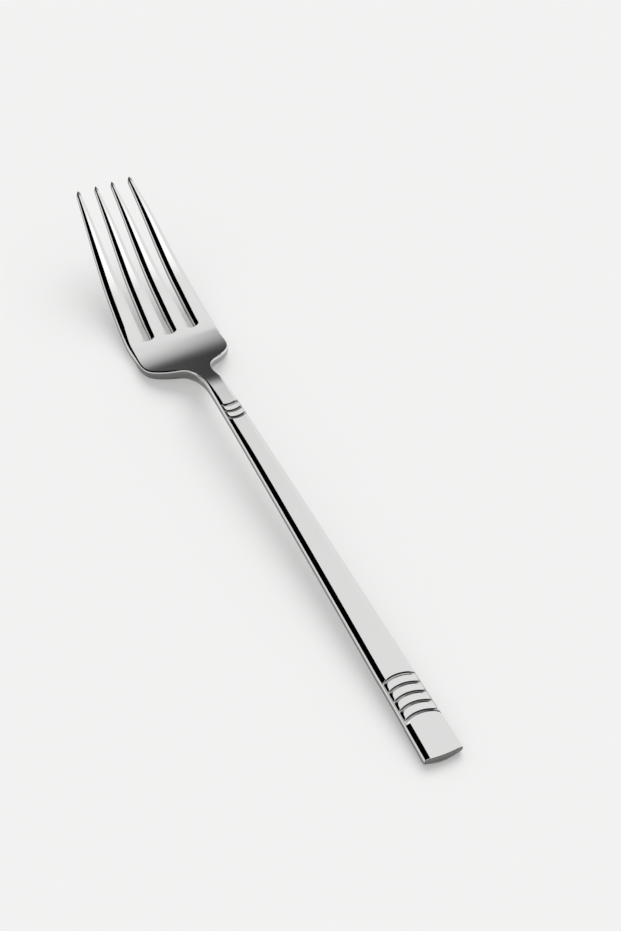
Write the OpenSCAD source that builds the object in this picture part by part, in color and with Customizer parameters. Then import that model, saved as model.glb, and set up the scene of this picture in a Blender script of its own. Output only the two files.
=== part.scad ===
// Four-tine dinner fork, one forging, lying tines up on its handle end and belly.
// Lengths are in millimetres. Y runs toward the tines, X to the right, Z up.

/* [Overall] */
// Length from the handle end to the tine tips
overall_len = 205; // [170:1:230]

/* [Side line of the top face] */
// Height of the top face at the handle end
end_top = 2.95; // [2.6:0.05:3.6]
// Height of the top face at the handle side of the neck ribs
grip_top = 10.7; // [7:0.1:13]
// Height of the top face at the crest of the neck
crest_top = 11; // [7.5:0.1:14]
// Height of the top face where the straight fall from the neck to the palm begins
brow_top = 10.05; // [7:0.05:12.5]
// Height of the top face where that fall ends
foot_top = 4.38; // [3.6:0.02:5.4]
// Height of the top face where the palm has nearly levelled out
hollow_top = 3.34; // [3.1:0.02:3.6]
// Height of the top face at the lowest line of the palm
belly_top = 2.8; // [2.2:0.02:3]
// Height of the top face where the tines begin to rise
rise_top = 7.27; // [5:0.1:10]
// Height of the top face along the steep part of the tines
sweep_top = 15.06; // [11:0.1:18]
// Height of the top face at the tine tips
tip_top = 22.02; // [16:0.1:27]

/* [Thickness] */
// Thickness of the handle at its end
end_thick = 3.0; // [2.4:0.05:3.6]
// Thickness of the handle at the neck ribs
grip_thick = 2.9; // [2.4:0.05:3.4]
// Thickness of the neck at its stoutest, on the way down to the palm
neck_thick = 3.55; // [2.8:0.05:4]
// Thickness of the palm
palm_thick = 2.9; // [2.24:0.02:3.2]
// Thickness of the tines at their roots
tine_thick = 2.7; // [2.2:0.05:3.2]
// Thickness of the tines at their tips
tip_thick = 1.7; // [1.3:0.05:2.2]

/* [Handle plan] */
// Half width of the handle top, bevels included, at its end
end_half = 4.62; // [4:0.05:6]
// Half width of the handle top, bevels included, at the neck ribs
grip_half = 2.4; // [2.1:0.05:3.2]
// Half width of the neck at its narrowest
waist_half = 2.05; // [1.8:0.05:2.6]
// Depth of the curve across the handle end, seen from above
end_sagitta = 0.4; // [0.2:0.05:0.8]
// Corner radius of the handle end, seen from above
end_corner = 0.3; // [0.2:0.05:1.6]

/* [Head plan] */
// Half width of the head at the shoulders
shoulder_half = 12.02; // [10.4:0.02:13]
// Half width of the head at the slot roots
head_half = 12.4; // [11:0.1:14]
// Half width of the slots at their roots
slot_half = 1.04; // [0.9:0.02:1.2]
// Distance of the outer slots from the middle, at their roots
slot_offset = 6.5; // [6.3:0.02:6.8]

/* [Tines] */
// Distance of the outer tine tips from the middle
outer_tip_offset = 7.6; // [7:0.05:9]
// Distance of the inner tine tips from the middle
inner_tip_offset = 2.42; // [2.2:0.05:3]
// Half width of the outer tines at their tips
outer_tip_half = 0.44; // [0.4:0.02:0.8]
// Half width of the inner tines at their tips
inner_tip_half = 0.34; // [0.34:0.02:0.7]
// Sideways bow of the outer tines
outer_bow = 0.16; // [0:0.02:0.5]
// Extra half width of the tines at mid length
tine_belly = 0.36; // [0.1:0.01:0.45]
// Length over which the tine tips are rounded
tip_round = 0.8; // [0.4:0.05:1.2]

/* [Edge bevel] */
// Width of the bevel along the handle
bevel_w = 1.05; // [0.6:0.05:1.4]
// Width of the bevel along the neck
neck_bevel_w = 0.75; // [0.5:0.05:1]
// Width of the bevel round the shoulders of the head
shoulder_bevel_w = 0.25; // [0.2:0.05:0.8]
// Width of the bevel at the tine roots
root_bevel_w = 0.66; // [0.5:0.02:0.9]
// Width of the bevel along the tines
tine_bevel_w = 1.05; // [0.6:0.05:1.1]
// Drop of the bevel along the handle, the neck and the head
bevel_drop = 0.23; // [0.15:0.01:0.4]
// Drop of the bevel along the tines
tine_bevel_drop = 0.75; // [0.6:0.05:1.3]

/* [Ribs and grooves] */
// Depth of the grooves
groove_depth = 0.3; // [0.2:0.05:0.5]
// Width of the grooves
groove_w = 1.05; // [0.7:0.05:1.2]
// Distance from one handle groove to the next
end_pitch = 2.86; // [2.5:0.05:3.2]
// Radius of the handle grooves, seen from above
end_arc = 7.7; // [6.9:0.05:12]
// Distance from one neck groove to the next
neck_pitch = 2.42; // [2.2:0.05:2.8]
// Radius of the neck grooves, seen from above
neck_arc = 4.3; // [4.1:0.1:10]
// Reach of the rib ends past the flat of the top face
rib_reach = 0.6; // [0.4:0.05:0.75]

/* [Hidden] */
$fn = 96;
// Stations along the fork, as shares of the overall length
end_groove_share = 0.065;
grip_share = 0.561;
neck_groove_share = 0.561;
crest_share = 0.621;
brow_share = 0.6449;
foot_share = 0.7122;
hollow_share = 0.7293;
belly_share = 0.76;
rise_share = 0.8439;
sweep_share = 0.9268;
pad_end_share = 0.0537;
end_zone_share = 0.1268;
neck_zone_share = 0.5515;
neck_zone_end_share = 0.5905;
palm_start_share = 0.6732;
root_share = 0.782;
waist_share = 0.65;
flare_share = 0.6756;
shoulder_rise_share = 0.6946;
shoulder_share = 0.7254;
cheek_share = 0.761;
handle_bevel_share = 0.49;

// Half widths along the neck and the head, as shares of the waist, the shoulder and the head
flare_half_share = 1.34;
shoulder_rise_half_share = 0.488;
cheek_half_share = 0.993;
// Slopes of the half width at those stations
edge_slope_shares = [0, 0.33, 1.86, 0.24, 0.03, 0];
// Slopes of the thickness behind the palm and at the tips
thick_slope_shares = [-0.07, -0.03];
// Thickness at the heel of the head, between that of the palm and that of the neck
heel_thick_share = 0.6;
// Widest that a bevel gets, as a share of the half width of a body and of a tine
bevel_cap_share = 0.45;
tine_bevel_cap_share = 0.6;
// Narrowing of the bevel on the handle before the neck
bevel_thin_share = 0.95;
bevel_thin_slope_share = -0.005;
bevel_grow_slope_share = 0.03;
// Bevel at the crest of the neck, between that of the shoulders and that of the neck
crest_bevel_share = 0.4;
// Widest that a tine bevel drops, as a share of the tine thickness
tine_drop_cap_share = 0.42;
// Part of the tine length with a full bevel, and what is left of the bevel at the tips
bevel_full_share = 0.5;
bevel_tip_share = 0.4;
// Part of the tine length over which its bevel grows from the bevel of the palm
bevel_grow_share = 0.125;
// Thickness left at the very tip, and how blunt the tip is
tip_thick_share = 0.55;
tip_blunt_share = 0.85;
// Width of the end face, as a share of the handle end
end_face_share = 0.5;
end_stations_share = 0.35;
// Room that the cutters of the grooved fields leave at each side
field_side_share = 1.35;
neck_reach_share = 0.8;

// Slopes of the top face at its stations, rise over run
top_slope_shares = [0.074, 0.05, 0.01, -0.405, -0.4, -0.2, 0, 0.32, 0.539, 0.336];
end_grooves = 5;
neck_grooves = 3;

root_y = overall_len * root_share;
belly_y = overall_len * belly_share;
end_groove_y = overall_len * end_groove_share;
neck_groove_y = overall_len * neck_groove_share;
middle_y = overall_len / 2;
slack = groove_depth;

// Station, height and slope of the top face
top_line = [
    [0, end_top, top_slope_shares[0]],
    [overall_len * grip_share, grip_top, top_slope_shares[1]],
    [overall_len * crest_share, crest_top, top_slope_shares[2]],
    [overall_len * brow_share, brow_top, top_slope_shares[3]],
    [overall_len * foot_share, foot_top, top_slope_shares[4]],
    [overall_len * hollow_share, hollow_top, top_slope_shares[5]],
    [belly_y, belly_top, top_slope_shares[6]],
    [overall_len * rise_share, rise_top, top_slope_shares[7]],
    [overall_len * sweep_share, sweep_top, top_slope_shares[8]],
    [overall_len, tip_top, top_slope_shares[9]]
];

// Station, thickness and its rate of change
thick_line = [
    [0, end_thick, 0],
    [overall_len * grip_share, grip_thick, 0],
    [overall_len * waist_share, neck_thick, 0],
    [overall_len * shoulder_rise_share, mix(palm_thick, neck_thick, heel_thick_share), thick_slope_shares[0]],
    [belly_y - palm_thick, palm_thick, 0],
    [belly_y + palm_thick, palm_thick, 0],
    [overall_len * rise_share, tine_thick, 0],
    [overall_len, tip_thick, thick_slope_shares[1]]
];

// Station, half width and its rate of change, from the handle end to the slot roots
edge_slope_share = (grip_half - end_half) / (overall_len * grip_share);
edge_line = [
    [0, end_half, edge_slope_share],
    [overall_len * grip_share, grip_half, edge_slope_share],
    [overall_len * waist_share, waist_half, edge_slope_shares[0]],
    [overall_len * flare_share, waist_half * flare_half_share, edge_slope_shares[1]],
    [overall_len * shoulder_rise_share, shoulder_half * shoulder_rise_half_share, edge_slope_shares[2]],
    [overall_len * shoulder_share, shoulder_half, edge_slope_shares[3]],
    [overall_len * cheek_share, head_half * cheek_half_share, edge_slope_shares[4]],
    [root_y, head_half, edge_slope_shares[5]]
];

// Station and width of the top bevel
bevel_line = [
    [0, bevel_w, 0],
    [overall_len * handle_bevel_share, bevel_w * bevel_thin_share, bevel_thin_slope_share],
    [overall_len * grip_share, neck_bevel_w, 0],
    [overall_len * crest_share, mix(shoulder_bevel_w, neck_bevel_w, crest_bevel_share), 0],
    [overall_len * waist_share, shoulder_bevel_w, 0],
    [overall_len * shoulder_rise_share, shoulder_bevel_w, 0],
    [overall_len * shoulder_share, shoulder_bevel_w, 0],
    [root_y, root_bevel_w, bevel_grow_slope_share]
];

// Side of the section below the bevel: reach outward and depth, as shares of its height
side_shares = [[0, 0], [0.09, 0.33], [0.11, 0.57], [0.08, 0.8], [0.01, 0.92], [-0.1, 1]];
tine_side_shares = [[0, 0], [0.035, 0.34], [0.035, 0.6], [0.01, 0.82], [-0.03, 0.94], [-0.1, 1]];

function mix(a, b, t) = a + (b - a) * t;

// Index of the span of a line that holds station y
function span(line, y, i = 0) = i >= len(line) - 2 || y <= line[i + 1][0] ? i : span(line, y, i + 1);

// Smooth curve through the rows of a line, with the slope each row gives
function curve(line, y) =
    let (i = span(line, y))
    let (a = line[i])
    let (b = line[i + 1])
    let (h = b[0] - a[0])
    let (t = (y - a[0]) / h)
    a[1] * (2 * t * t * t - 3 * t * t + 1)
    + a[2] * h * (t * t * t - 2 * t * t + t)
    + b[1] * (3 * t * t - 2 * t * t * t)
    + b[2] * h * (t * t * t - t * t);

function top_at(y) = curve(top_line, y);

// Thickness, cut off where the fork rests so that the underside is flat there
function thick_at(y) = min(curve(thick_line, y), top_at(y));

function edge_at(y) = curve(edge_line, y);
function bevel_at(y) = curve(bevel_line, y);

// Widening of the bevel where the plan outline runs askew
function skew_at(y) =
    let (dy = bevel_drop)
    let (g = (edge_at(y + dy) - edge_at(y - dy)) / (dy * 2))
    sqrt(1 + g * g);

// One closed section across the fork, centred on x
function section(y, x, half, bevel, drop, thick, side = side_shares) =
    let (h = thick - drop)
    let (z = top_at(y))
    let (right = [for (s = side) [half + s[0] * h, -drop - s[1] * h]])
    let (n = len(right))
    [
        [x - half + bevel, y, z],
        [x + half - bevel, y, z],
        for (p = right) [x + p[0], y, z + p[1]],
        for (i = [n - 1 : -1 : 0]) [x - right[i][0], y, z + right[i][1]]
    ];

function body_section(y) = section(
    y, 0, edge_at(y), min(bevel_at(y) * skew_at(y), edge_at(y) * bevel_cap_share), bevel_drop, thick_at(y));

// The handle end: sections that narrow into the curve and the corners of the plan
function end_inset(y) =
    y >= end_sagitta + end_corner ? 0
    : y >= end_sagitta ? end_corner - sqrt(pow(end_corner, 2) - pow(end_corner - y + end_sagitta, 2))
    : mix(end_half * end_face_share, end_corner, y / end_sagitta);

function end_section(y) = section(
    y, 0, edge_at(y) - end_inset(y), min(bevel_at(y), (edge_at(y) - end_inset(y)) * bevel_cap_share),
    bevel_drop, thick_at(y) - (y < end_corner ? bevel_drop * (1 - y / end_corner) : 0));

// Tines: t runs from 0 at the roots to 1 at the tips
function tine_t(y) = (y - root_y) / (overall_len - root_y);
outer_root_mid = (head_half + slot_offset + slot_half) / 2;
outer_root_half = (head_half - slot_offset - slot_half) / 2;
inner_root_mid = slot_offset / 2;
inner_root_half = slot_offset / 2 - slot_half;

function tine_mid(t, root, tip, bow) = mix(root, tip, t) + bow * 4 * t * (1 - t);
function tine_half(t, root, tip) = mix(root, tip, t) + tine_belly * 4 * t * (1 - t);

function tip_scale(y) =
    let (d = overall_len - y)
    d >= tip_round ? 1 : sqrt(1 - pow((tip_round - d) * tip_blunt_share / tip_round, 2));

// Share of the tine bevel that is left toward the tips
function fade(t) =
    t < bevel_full_share ? 1
    : mix(1, bevel_tip_share, (t - bevel_full_share) / (1 - bevel_full_share));

function tine_section(y, root, tip, bow, half_root, half_tip) =
    let (t = tine_t(y))
    let (half = tine_half(t, half_root, half_tip) * tip_scale(y))
    let (thick = thick_at(y) * mix(tip_thick_share, 1, tip_scale(y)))
    let (grow = min(1, t / bevel_grow_share))
    let (drop = min(mix(bevel_drop, tine_bevel_drop, grow), thick * tine_drop_cap_share))
    section(y, tine_mid(t, root, tip, bow), half,
        min(mix(root_bevel_w, tine_bevel_w, grow) * fade(t), half * tine_bevel_cap_share), drop, thick,
        mix(side_shares, tine_side_shares, grow));

// The two triangles of a panel between two sections: a is its first corner and side the step to
// the next point; the diagonals of the two halves mirror each other
function panel(a, side, m, near) =
    near ? [[a, a + m, a + m + side], [a, a + m + side, a + side]]
    : [[a, a + m, a + side], [a + m, a + m + side, a + side]];

// Skin over a row of sections that all have the same number of points
module skin(rows) {
    m = len(rows[0]);
    k = len(rows) - 1;
    polyhedron(
        points = [for (r = rows) for (p = r) p],
        faces = [
            [for (i = [0 : m - 1]) i],
            for (j = [0 : k - 1]) for (i = [0 : m - 1])
                for (f = panel(j * m + i, (i + 1) % m - i, m, i * 2 < m)) f,
            [for (i = [m - 1 : -1 : 0]) k * m + i]
        ],
        convexity = 6
    );
}

// Evenly spaced stations from a to b
function steps(a, b, n) = [for (i = [0 : n]) mix(a, b, i / n)];

module placed() {
    translate([0, -middle_y, 0]) children();
}

// Local frame on the top face between two stations: y along the face, z square to it
module on_face(y0, y1) {
    tilt = atan((top_at(y1) - top_at(y0)) / (y1 - y0));
    translate([0, y0, top_at(y0)]) rotate([tilt, 0, 0]) children();
}

// Plan of the strip between two arcs of the same radius; side is 1 when they bulge toward the tines
module arc_strip(y0, y1, radius, grow0, grow1, side) {
    if (side > 0) {
        difference() {
            translate([0, y1 - radius]) circle(r = radius + grow1);
            translate([0, y0 - radius]) circle(r = radius + grow0);
        }
    } else {
        difference() {
            translate([0, y0 + radius]) circle(r = radius - grow0);
            translate([0, y1 + radius]) circle(r = radius - grow1);
        }
    }
}

// Plan of a bar across the fork
module bar_plan(half, y0, y1) {
    translate([-half, y0]) square([half * 2, y1 - y0]);
}

zone0 = overall_len * pad_end_share;
zone1 = overall_len * end_zone_share;
zone2 = overall_len * neck_zone_share;
zone3 = overall_len * neck_zone_end_share;

// Grooved field cut into the top face, in the local frame of its zone
module field(y0, first, count, pitch, radius, side, half) {
    translate([0, 0, -groove_depth]) linear_extrude(height = groove_depth + slack)
        intersection() {
            arc_strip(
                first - y0, first - y0 + pitch * (count - 1), radius, -groove_w / 2, groove_w / 2, side);
            bar_plan(half, side > 0 ? -pitch : 0, side > 0 ? pitch * count : pitch * (count + 1));
        }
}

// One rib of a field, standing on the floor of the field
module rib(y0, first, i, pitch, radius, side, half) {
    translate([0, 0, -groove_depth]) linear_extrude(height = groove_depth)
        intersection() {
            arc_strip(
                first - y0 + pitch * i, first - y0 + pitch * (i + 1), radius,
                groove_w / 2, -groove_w / 2, side);
            bar_plan(half, -pitch, pitch * (end_grooves + 1));
        }
}

module end_pad() color("silver") placed()
    skin([for (y = concat(
        [0, end_sagitta * end_stations_share, end_sagitta],
        steps(end_sagitta + end_corner * end_stations_share, end_sagitta + end_corner, 3),
        [zone0])) end_section(y)]);

module shank() color("silver") placed()
    difference() {
        skin([for (y = concat([zone0], steps(zone1, zone2, 9))) body_section(y)]);
        on_face(zone0, zone1)
            field(zone0, end_groove_y, end_grooves, end_pitch, end_arc, 1, end_half * field_side_share);
    }

module end_rib(i) color("gainsboro") placed()
    on_face(zone0, zone1)
        rib(zone0, end_groove_y, i, end_pitch, end_arc, 1,
            edge_at(end_groove_y + end_pitch * i) - bevel_w + rib_reach);

module neck() color("silver") placed()
    difference() {
        skin([for (y = concat([zone2], steps(zone3, overall_len * palm_start_share, 8))) body_section(y)]);
        on_face(zone2, zone3)
            field(zone2, neck_groove_y, neck_grooves, neck_pitch, neck_arc, -1, grip_half * field_side_share);
    }

module neck_rib(i) color("gainsboro") placed()
    on_face(zone2, zone3)
        rib(zone2, neck_groove_y, i, neck_pitch, neck_arc, -1,
            edge_at(neck_groove_y + neck_pitch * i) - neck_bevel_w + rib_reach * neck_reach_share);

module palm() color("silver") placed()
    difference() {
        skin([for (y = steps(overall_len * palm_start_share, root_y, 18)) body_section(y)]);
        for (x = [-slot_offset, 0, slot_offset])
            translate([x, root_y, -tip_top]) cylinder(h = tip_top * 2, r = slot_half);
    }

tine_ys = concat(
    steps(root_y, overall_len - tip_round, 13),
    [overall_len - tip_round / 2, overall_len - tip_round / 5, overall_len]);

module outer_tine(side) color("silver") placed()
    skin([for (y = tine_ys) side_up(side, tine_section(
        y, outer_root_mid, outer_tip_offset, outer_bow, outer_root_half, outer_tip_half))]);

module inner_tine(side) color("silver") placed()
    skin([for (y = tine_ys) side_up(side, tine_section(
        y, inner_root_mid, inner_tip_offset, 0, inner_root_half, inner_tip_half))]);

// The section for the right side, or its mirror image for the left side in the same winding
function side_up(side, loop) =
    let (n = len(loop))
    side > 0 ? loop
    : [for (i = [0 : n - 1]) let (p = loop[(n + 1 - i) % n]) [-p[0], p[1], p[2]]];

end_pad();
shank();
end_rib(0);  // end_rib_1
end_rib(1);  // end_rib_2
end_rib(2);  // end_rib_3
end_rib(3);  // end_rib_4
neck();
neck_rib(0);  // neck_rib_1
neck_rib(1);  // neck_rib_2
palm();
outer_tine(-1);  // outer_left_tine
inner_tine(-1);  // inner_left_tine
inner_tine(1);  // inner_right_tine
outer_tine(1);  // outer_right_tine
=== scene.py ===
"""A dinner fork with four tines, of mirror-polished steel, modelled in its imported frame.

The shape is worked out in millimetres with y from the handle end toward the tines, as the frame's
own source does, and is put into the frame in metres at the very end.
"""
import math

import bmesh
import bpy
from bpy.props import FloatProperty, FloatVectorProperty, PointerProperty
from mathutils import Matrix, Vector


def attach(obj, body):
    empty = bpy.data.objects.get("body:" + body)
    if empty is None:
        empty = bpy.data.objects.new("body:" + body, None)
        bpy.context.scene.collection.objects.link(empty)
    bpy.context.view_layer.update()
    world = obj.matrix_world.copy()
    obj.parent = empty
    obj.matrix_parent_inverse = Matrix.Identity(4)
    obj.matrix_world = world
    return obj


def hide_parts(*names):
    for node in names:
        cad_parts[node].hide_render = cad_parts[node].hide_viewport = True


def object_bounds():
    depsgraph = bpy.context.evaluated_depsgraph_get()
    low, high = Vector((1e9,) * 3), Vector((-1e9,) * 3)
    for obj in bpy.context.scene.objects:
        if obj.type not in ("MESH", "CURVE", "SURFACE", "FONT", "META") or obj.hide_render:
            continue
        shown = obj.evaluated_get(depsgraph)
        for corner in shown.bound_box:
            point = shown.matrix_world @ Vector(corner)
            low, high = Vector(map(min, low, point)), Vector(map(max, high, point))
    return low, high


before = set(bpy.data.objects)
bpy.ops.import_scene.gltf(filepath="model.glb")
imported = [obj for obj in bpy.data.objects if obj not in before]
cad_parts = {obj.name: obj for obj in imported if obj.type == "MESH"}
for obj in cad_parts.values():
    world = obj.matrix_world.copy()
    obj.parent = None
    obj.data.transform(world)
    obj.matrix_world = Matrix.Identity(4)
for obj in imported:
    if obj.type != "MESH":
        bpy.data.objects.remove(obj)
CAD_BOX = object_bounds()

bl_info = {
    "name": "Dinner fork",
    "version": (1, 0, 0),
    "blender": (4, 5, 0),
    "location": "View3D > Sidebar > Fork",
    "description": "Models a polished dinner fork and the table it lies on",
    "category": "Add Mesh",
}

MM = 0.001
LENGTH = (CAD_BOX[1].y - CAD_BOX[0].y) / MM

# Stations along the fork, as shares of its length: where its regions start and end, and the first
# groove of each run
PAD_END, END_ZONE = 0.0537, 0.1268
NECK_ZONE, NECK_ZONE_END = 0.5515, 0.5905
PALM_START, ROOT = 0.6732, 0.782
END_GROOVE, NECK_GROOVE = 0.065, 0.561
# Runs of grooves: distance from groove to groove, their number, and the radius of their arcs
END_PITCH, END_GROOVES, END_ARC = 2.86, 5, 7.7
NECK_PITCH, NECK_GROOVES, NECK_ARC = 2.42, 3, 4.3

# Rows of station, value and slope, which smooth curves run through: the height of the top face, the
# thickness of the metal, half its width, and the width and depth of the bevels along its edges
TOP = [
    (0, 2.95, 0.074), (0.561, 10.7, 0.05), (0.621, 10.98, 0.01), (0.6449, 10.05, -0.405),
    (0.7122, 4.38, -0.4), (0.7293, 3.34, -0.2), (0.76, 2.8, 0.0), (0.8439, 7.27, 0.32),
    (0.9268, 15.06, 0.539), (1, 21.6, 0.325),
]
THICK = [
    (0, 3.0, 0), (0.561, 2.9, 0), (0.65, 3.55, 0), (0.699, 3.19, -0.07),
    (0.7463, 2.9, 0), (0.7737, 2.9, 0), (0.8439, 2.7, 0), (1, 1.7, -0.03),
]
EDGE = [
    (0, 4.8, -0.0193), (0.561, 2.56, -0.0193), (0.65, 2.12, 0), (0.6756, 2.747, 0.33),
    (0.6946, 5.866, 1.86), (0.7254, 12.02, 0.24), (0.761, 12.31, 0.03), (ROOT, 12.4, -0.02),
]
BEVEL = [
    (0, 1.24, 0), (0.49, 1.18, -0.005), (0.561, 0.9, 0), (0.6, 0.76, -0.02), (0.62, 0.52, -0.05),
    (0.65, 0.16, -0.01), (0.67, 0.06, 0), (0.685, 0.08, 0), (0.7, 0.24, 0), (0.72, 0.26, 0),
    (0.745, 0.34, 0.02), (ROOT, 0.66, 0.03),
]
DROP = [
    (0, 0.23, 0), (0.561, 0.23, 0), (0.61, 0.22, 0), (0.65, 0.04, 0), (0.685, 0.04, 0), (0.7, 0.44, 0),
    (0.72, 0.42, 0), (0.745, 0.24, 0), (ROOT, 0.34, 0.03),
]
# How far the sides are tucked in under the shoulders
TUCK = [(0, 0, 0), (0.6756, 0, 0), (0.7, 1, 0), (0.72, 1, 0), (0.745, 0, 0), (ROOT, 0, 0)]
# Share of a side's height that is polished like the top face, before its ground part begins; that part's
# dark colour is partly the ground finish and partly painted shade
SHINE = [(0, 0.22, 0), (0.65, 0.22, 0), (0.68, 0.04, 0), (0.735, 0.04, 0), (0.765, 0.28, 0), (1, 0.28, 0)]
# Share of a side's height over which its ground part, dark with painted shade, fades in
GROUND_AND_SHADE_FADE = 0.12
# How far from its end a tine is ground and painted dark as shade all round, and the length over which that
# fades in
TIP_GROUND_AND_SHADE, TIP_FADE = 1.5, 0.8
# Two stretches of the fork, each as its start, rise, end and fall, where less of the ground sides' painted
# shade
# is laid: the sole of the palm, whose sides are polished from a share of their height down, and the right
# shoulder, whose wall is polished more than the left one's and most at its foot, a side painted lighter than
# the other
SOLE, SOLE_TOP, SOLE_FADE = (0.735, 0.02, ROOT, 0.015), 0.55, 0.1
SHOULDER = (0.66, 0.01, 0.76, 0.01)
SHOULDER_SHADE_LIFT, SHOULDER_FOOT, SHOULDER_FOOT_SHADE_LIFT = 0.2, 0.6, 0.6

# Tines: their middle at the root and at the tip, its bow, and half their width at the root and at the tip
OUTER, INNER = "outer", "inner"
TINES = {OUTER: (9.97, 7.6, 0.16, 2.43, 0.44), INNER: (3.25, 2.42, 0, 2.21, 0.34)}
# Middle of the outer slots at the root and at the tip, and the swell of the tines
SLOT_OFFSET, SLOT_TIP_OFFSET, TINE_SWELL = 6.5, 5.0, 0.36
# Rounded tips: their length, the share of a full round that they reach, the least that is left of the
# square of their width, and the thickness that a tip without width would keep
TIP_ROUND, TIP_CUT, TIP_LEAST, TIP_THICK = 0.8, 0.95, 0.02, 0.55
# Bevels of a tine: the share of its length over which they grow from the slot's, the share of them that
# is lost toward the tip, and the power with which it is lost
TINE_GROW, BEVEL_SHRINK, SHRINK_POWER = 0.125, 0.6, 1.6
# The most that a bevel takes of half the width of the body or a tine, and its drop of the thickness
BODY_BEVEL_MOST, TINE_BEVEL_MOST, DROP_MOST = 0.45, 0.66, 0.5

# Outlines of a side below its bevel, as shares of its height: of the body, of its shoulders and of a
# tine, and the point of them that the rounded outer edge turns toward
SIDE_CURVE = [(0, 0), (0.09, 0.3), (0.16, 0.9), (-0.1, 1)]
HEEL_CURVE = [(0, 0), (0.05, 0.3), (0.05, 0.9), (-0.2, 1)]
TINE_CURVE = [(0, 0), (0.1, 0.25), (0.25, 0.8), (0.05, 1)]
EDGE_AIM = 0.12

# Points down a side, and the cells round a section: the two roundings of a bevel, the underside, and
# the flat of the body's top and of a strip's
SIDE_STEPS = (0.09, 0.15, 0.22, 0.3, 0.4, 0.5, 0.6, 0.7, 0.8, 0.9, 1)
FLAT_CELLS, EDGE_CELLS, BASE_CELLS, BODY_CELLS, STRIP_CELLS = 4, 5, 5, 16, 6
FLAT_POINTS, WALL_POINTS = FLAT_CELLS + EDGE_CELLS + 2, len(SIDE_STEPS)
SIDE_POINTS = FLAT_POINTS + WALL_POINTS

# Rows of points down the end face, as shares of the way to its middle, and along the rounded handle end
END_LEVELS = (0.9, 0.75, 0.6, 0.5, 0.42, 0.34, 0.26, 0.19, 0.13, 0.08, 0.045, 0.02)
END_STATIONS = (0, 0.15, 0.35, 0.6, 0.9, 1.2, 1.6, 2, 2.5, 3, 3.6, 4.3, 5, 6, 7, 8, 9, 10)
# Handle end: how far down the middle of its face is, the length over which its shape fades out, how far
# down its bulge reaches and its heel begins, and the share of the heel in its middle
END_MIDDLE, END_FADE, BULGE_REACH, HEEL_TOP, HEEL_EVEN = 0.45, 5, 0.4, 0.2, 0.7
# Steps along the shank, along the neck and beside a run of grooves, the rows on the floor of a run, and
# how far the body and the head reach into one another
BODY_STEP, NECK_STEP, FIELD_STEP, FLOOR_ROWS, JOIN = 2, 0.35, 0.4, 12, 0.35
# Steps along the palm, along a tine near its root and further out, and the length of the near part
PALM_STEP, TINE_STEP, TIP_STEP, NEAR_ROOT = 0.3, 0.4, 0.9, 8
# Rows round the end of a slot and the room left before it, rows in a rounded tip, and the least step
SLOT_ROWS, SLOT_MARGIN = 12, 0.1
TIP_LEVELS = (0.8, 0.6, 0.45, 0.3, 0.18, 0.08, 0.02, 0)
LEAST_STEP = 0.006
# Levels of a rib from its foot to the edge of its top, and rings from there to its middle
RIB_LEVELS = (0, 0.03, 0.1, 0.3, 0.6, 0.8, 0.9, 0.97, 1)
RIB_RINGS = (0.97, 0.88, 0.7, 0.45, 0.15)
# Grooves: the most of its radius that an arc spans, the roundings before, in and past a groove, and where
# a groove fades out in the bevel, as shares of the bevel
ARC_MOST = 0.9
RAMP_ROUND, WALL_ROUND, BROW_ROUND = 0.1, 0.02, 0.05
FADE_END, FADE_RUN = 0.25, 0.5
# Ribs: radii of the corners of the foot, and of the near and far corners of the top at the handle end
# and at the neck
RIB_FOOT_ROUND, END_RIB_ROUNDS, NECK_RIB_ROUNDS = 0.12, (0.25, 1.0), (0.8, 0.2)
# How deep a rib stands in the floor, and its ground side, painted dark as shade: how far that laps over the
# edge of the top, and the level below which it lies
RIB_SINK, RIB_GROUND_AND_SHADE, RIB_GROUND_AND_SHADE_TOP = 0.05, 0.06, 0.95
# Cells round a corner of a rib, across it and along it
CORNER_CELLS, ACROSS_CELLS, ALONG_CELLS = 6, 9, 3

# Patterns in the roughness of the polish and of the ground sides: how fine they are and how strong
HAZE_SCALE, HAZE_DEPTH, GRAIN_SCALE, GRAIN_DEPTH = 90.0, 0.02, 1400.0, 0.08

# The camera, in metres and millimetres of lens, the way the key light shines, the table, and the white
# of the room past it
LENS, SENSOR = 92.854, 36
CAMERA_PLACE = (-0.174978, -0.397178, 0.436604)
CAMERA_ACROSS, CAMERA_UP = (0.902768, -0.430127, 0.001014), (0.303140, 0.637911, 0.707938)
KEY_WAY = (-0.42, -0.45, -0.79)
TABLE_HALF, TABLE_PLACE, ROOM_WHITE = 0.8, (0, -0.55, 0), 0.88
# The room that the steel mirrors. Its big panel: heights and their brightness, with the lowest and the
# highest of these heights apart, and how far the panel leans where
RISE = ((0.24, 0.14), (0.34, 0.22), (0.5, 0.44), (0.63, 0.65), (0.71, 0.79), (0.79, 0.87))
RISE_START, RISE_END = 0.1, 0.87
LEAN_X, LEAN_Y, LEAN = (0.243, 0.303), (0.6, 0.7), 0.2
# The other panels, the gap and the dark at the left and the back: where each starts and ends, and the
# brightness of the lower part of the panel beside the fork and of the one overhead
BESIDE_X, BESIDE_Z, BESIDE_LOW = (0.44, 0.54), (-0.1, 0.3), 0.55
GAP_X, GAP_Z = (0.34, 0.42), (0.6, 0.75)
OVERHEAD_Z, OVERHEAD_Y, OVERHEAD = (0.88, 0.94), (-0.1, 0.17), 0.35
DARK_LEFT_X, DARK_LEFT_Z = (0.04, 0.2), (0.93, 0.97)
DARK_BACK_Y, DARK_BACK_Z = (-0.5, -0.3), (0.88, 0.93)


def mix(a, b, t):
    return a + (b - a) * t


def clamp(t):
    return min(1.0, max(0.0, t))


def within(t, start, rise, end, fall):
    """1 between two values and 0 outside them, with a straight rise and fall."""
    return clamp((t - start) / rise) * clamp((end - t) / fall)


def spaced(a, b, step):
    """Even values from a to b, about a step apart."""
    n = max(1, round((b - a) / step))
    return [mix(a, b, i / n) for i in range(n + 1)]


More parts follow.
